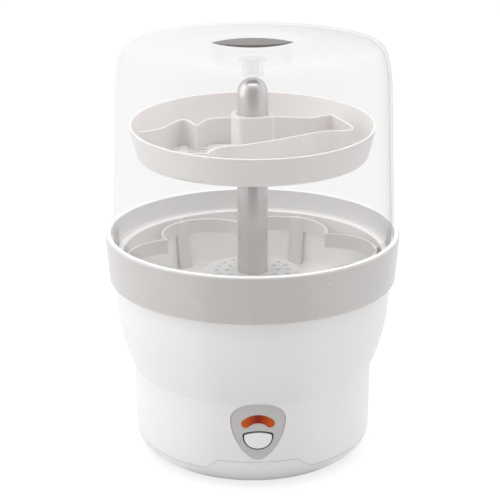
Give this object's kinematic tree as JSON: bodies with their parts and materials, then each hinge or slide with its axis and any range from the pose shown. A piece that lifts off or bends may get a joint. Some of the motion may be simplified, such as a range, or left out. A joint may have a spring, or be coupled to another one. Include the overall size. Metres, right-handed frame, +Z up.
{
  "type": "steam bottle sterilizer",
  "caption": "Round steam sterilizer for feeding bottles: white heated base with a front button, pale grey collar and basket, column with a small parts tray, tall clear lid.",
  "frame": {"origin": "on the surface that the feet stand on, on the axis of the column, lid and base", "axes": "+Z up along the column; the front, with the button, faces -Y"},
  "size_m": [0.2397, 0.2396, 0.3422],
  "materials": {
    "base_white": "smooth gloss, white",
    "foot_rubber": "matt grey rubber",
    "screw_steel": "bright steel",
    "bowl_white": "satin white",
    "silicone_grey": "matt pale silicone",
    "dish_steel": "brushed stainless steel",
    "spreader_aluminium": "as cast",
    "heater_steel": "dull steel tube",
    "thermostat_dark": "black moulded base",
    "fuse_tin": "tinned case",
    "block_nylon": "natural nylon",
    "lead_red": "silicone sleeve",
    "gland_grey": "matt rubber",
    "panel_grey": "satin warm grey",
    "lens_orange": "clear orange red",
    "lamp_clear": "clear",
    "board_green": "solder resist",
    "switch_black": "black",
    "seal_dark": "matt dark grey",
    "button_white": "high gloss white",
    "spring_steel": "bright spring wire",
    "rack_grey": "gloss pale warm grey",
    "guide_white": "gloss off white",
    "plate_white": "gloss off white",
    "column_grey": "gloss pale grey",
    "tray_white": "gloss pale grey white",
    "lid_clear": "clear, polished",
    "grip_grey": "satin grey",
    "vent_frosted": "translucent satin"
  },
  "bodies": {
    "base": {"base_housing": "base_white", "base_pan": "base_white", "rubber_feet": "foot_rubber", "pan_screws": "screw_steel", "inner_bowl": "bowl_white", "dish_seal": "silicone_grey", "boiler_dish": "dish_steel", "dish_clamp_ring": "screw_steel", "dish_screws": "screw_steel", "heat_spreader": "spreader_aluminium", "heating_element": "heater_steel", "thermostat": "thermostat_dark", "thermostat_bracket": "screw_steel", "thermal_fuse": "fuse_tin", "fuse_clip": "screw_steel", "small_screws": "screw_steel", "terminal_block": "block_nylon", "terminal_screws": "screw_steel", "internal_leads": "lead_red", "cord_gland": "gland_grey", "panel_bezel": "panel_grey", "indicator_lens": "lens_orange", "indicator_lamps": "lamp_clear", "control_board": "board_green", "power_switch": "switch_black", "button_seal": "seal_dark", "button_spring": "spring_steel"},
    "button": {"power_button": "button_white"},
    "rack": {"rack_basket": "rack_grey", "bottle_guide": "guide_white", "steam_plate": "plate_white", "column": "column_grey", "column_screw": "screw_steel"},
    "tray": {"small_parts_tray": "tray_white"},
    "lid": {"lid_shell": "lid_clear", "lid_grip": "grip_grey", "steam_vent": "vent_frosted"}
  },
  "joints": [
    {"name": "button_press", "type": "slide", "parent": "base", "child": "button", "axis": [0, 1, 0], "range_m": [0, 0.0025], "stiffness_N_per_m": 600, "springref_m": -0.0015, "deforming": ["button_spring"]},
    {"name": "rack_lift", "type": "slide", "parent": "base", "child": "rack", "axis": [0, 0, 1], "range_m": [0, 0.12]},
    {"name": "tray_lift", "type": "slide", "parent": "rack", "child": "tray", "axis": [0, 0, 1], "range_m": [0, 0.1]},
    {"name": "lid_lift", "type": "slide", "parent": "tray", "child": "lid", "axis": [0, 0, 1], "range_m": [0, 0.18]}
  ]
}
